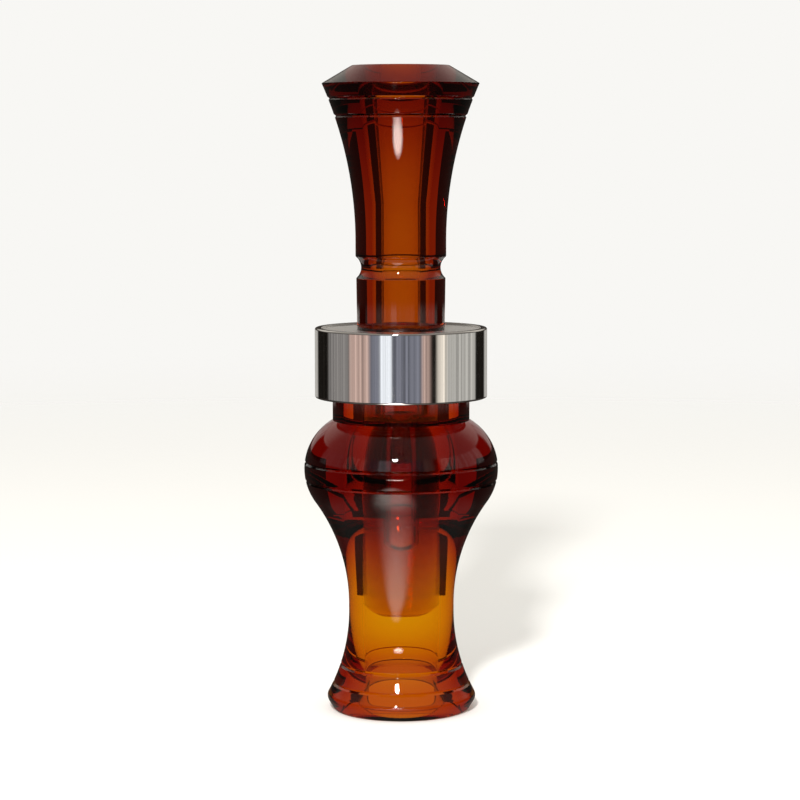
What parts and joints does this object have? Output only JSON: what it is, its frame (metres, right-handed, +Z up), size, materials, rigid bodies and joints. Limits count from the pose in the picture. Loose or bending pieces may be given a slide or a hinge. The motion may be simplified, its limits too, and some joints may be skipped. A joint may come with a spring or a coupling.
{
  "type": "duck call",
  "caption": "Turned acrylic duck call standing on its mouthpiece end: flared bulbed barrel with a wide metal band and a pull-out flared insert that carries the reeds.",
  "frame": {"origin": "centre of the barrel's base, the mouthpiece end on which the call stands", "axes": "+Z up along the call's axis from the mouthpiece to the exhaust; the flat of the tone board inside faces +Y"},
  "size_m": [0.04, 0.04, 0.1329],
  "materials": {
    "barrel_acrylic": "polished amber-brown transparent acrylic",
    "band_aluminium": "polished",
    "insert_acrylic": "polished amber-brown transparent acrylic, tone board left as machined",
    "o_ring_rubber": "moulded nitrile",
    "reed_mylar": "frosted polyester film",
    "wedge_cork": "cut natural cork"
  },
  "bodies": {
    "barrel": {"barrel": "barrel_acrylic", "band": "band_aluminium"},
    "insert": {"insert": "insert_acrylic", "o_ring_upper": "o_ring_rubber", "o_ring_lower": "o_ring_rubber"},
    "wedge": {"wedge": "wedge_cork"},
    "reed_long": {"reed_long": "reed_mylar"},
    "reed_short": {"reed_short": "reed_mylar"}
  },
  "joints": [
    {"name": "insert_pull", "type": "slide", "parent": "barrel", "child": "insert", "axis": [0, 0, 1], "range_m": [0, 0.066]},
    {"name": "wedge_pull", "type": "slide", "parent": "insert", "child": "wedge", "axis": [0, 0, -1], "range_m": [0, 0.011]},
    {"name": "reed_long_flex", "type": "hinge", "parent": "insert", "child": "reed_long", "pos_m": [0, -0.00065, 0.0496], "axis": [-1, 0, 0], "range_deg": [-1.5, 4], "stiffness_Nm_per_rad": 0.01, "deforming": ["reed_long"]},
    {"name": "reed_short_flex", "type": "hinge", "parent": "insert", "child": "reed_short", "pos_m": [0, -0.00065, 0.0496], "axis": [-1, 0, 0], "range_deg": [-1.5, 4], "stiffness_Nm_per_rad": 0.005, "deforming": ["reed_short"]}
  ],
  "couplings": [
    {"joint": "reed_short_flex", "follows": "reed_long_flex", "ratio": 1}
  ]
}
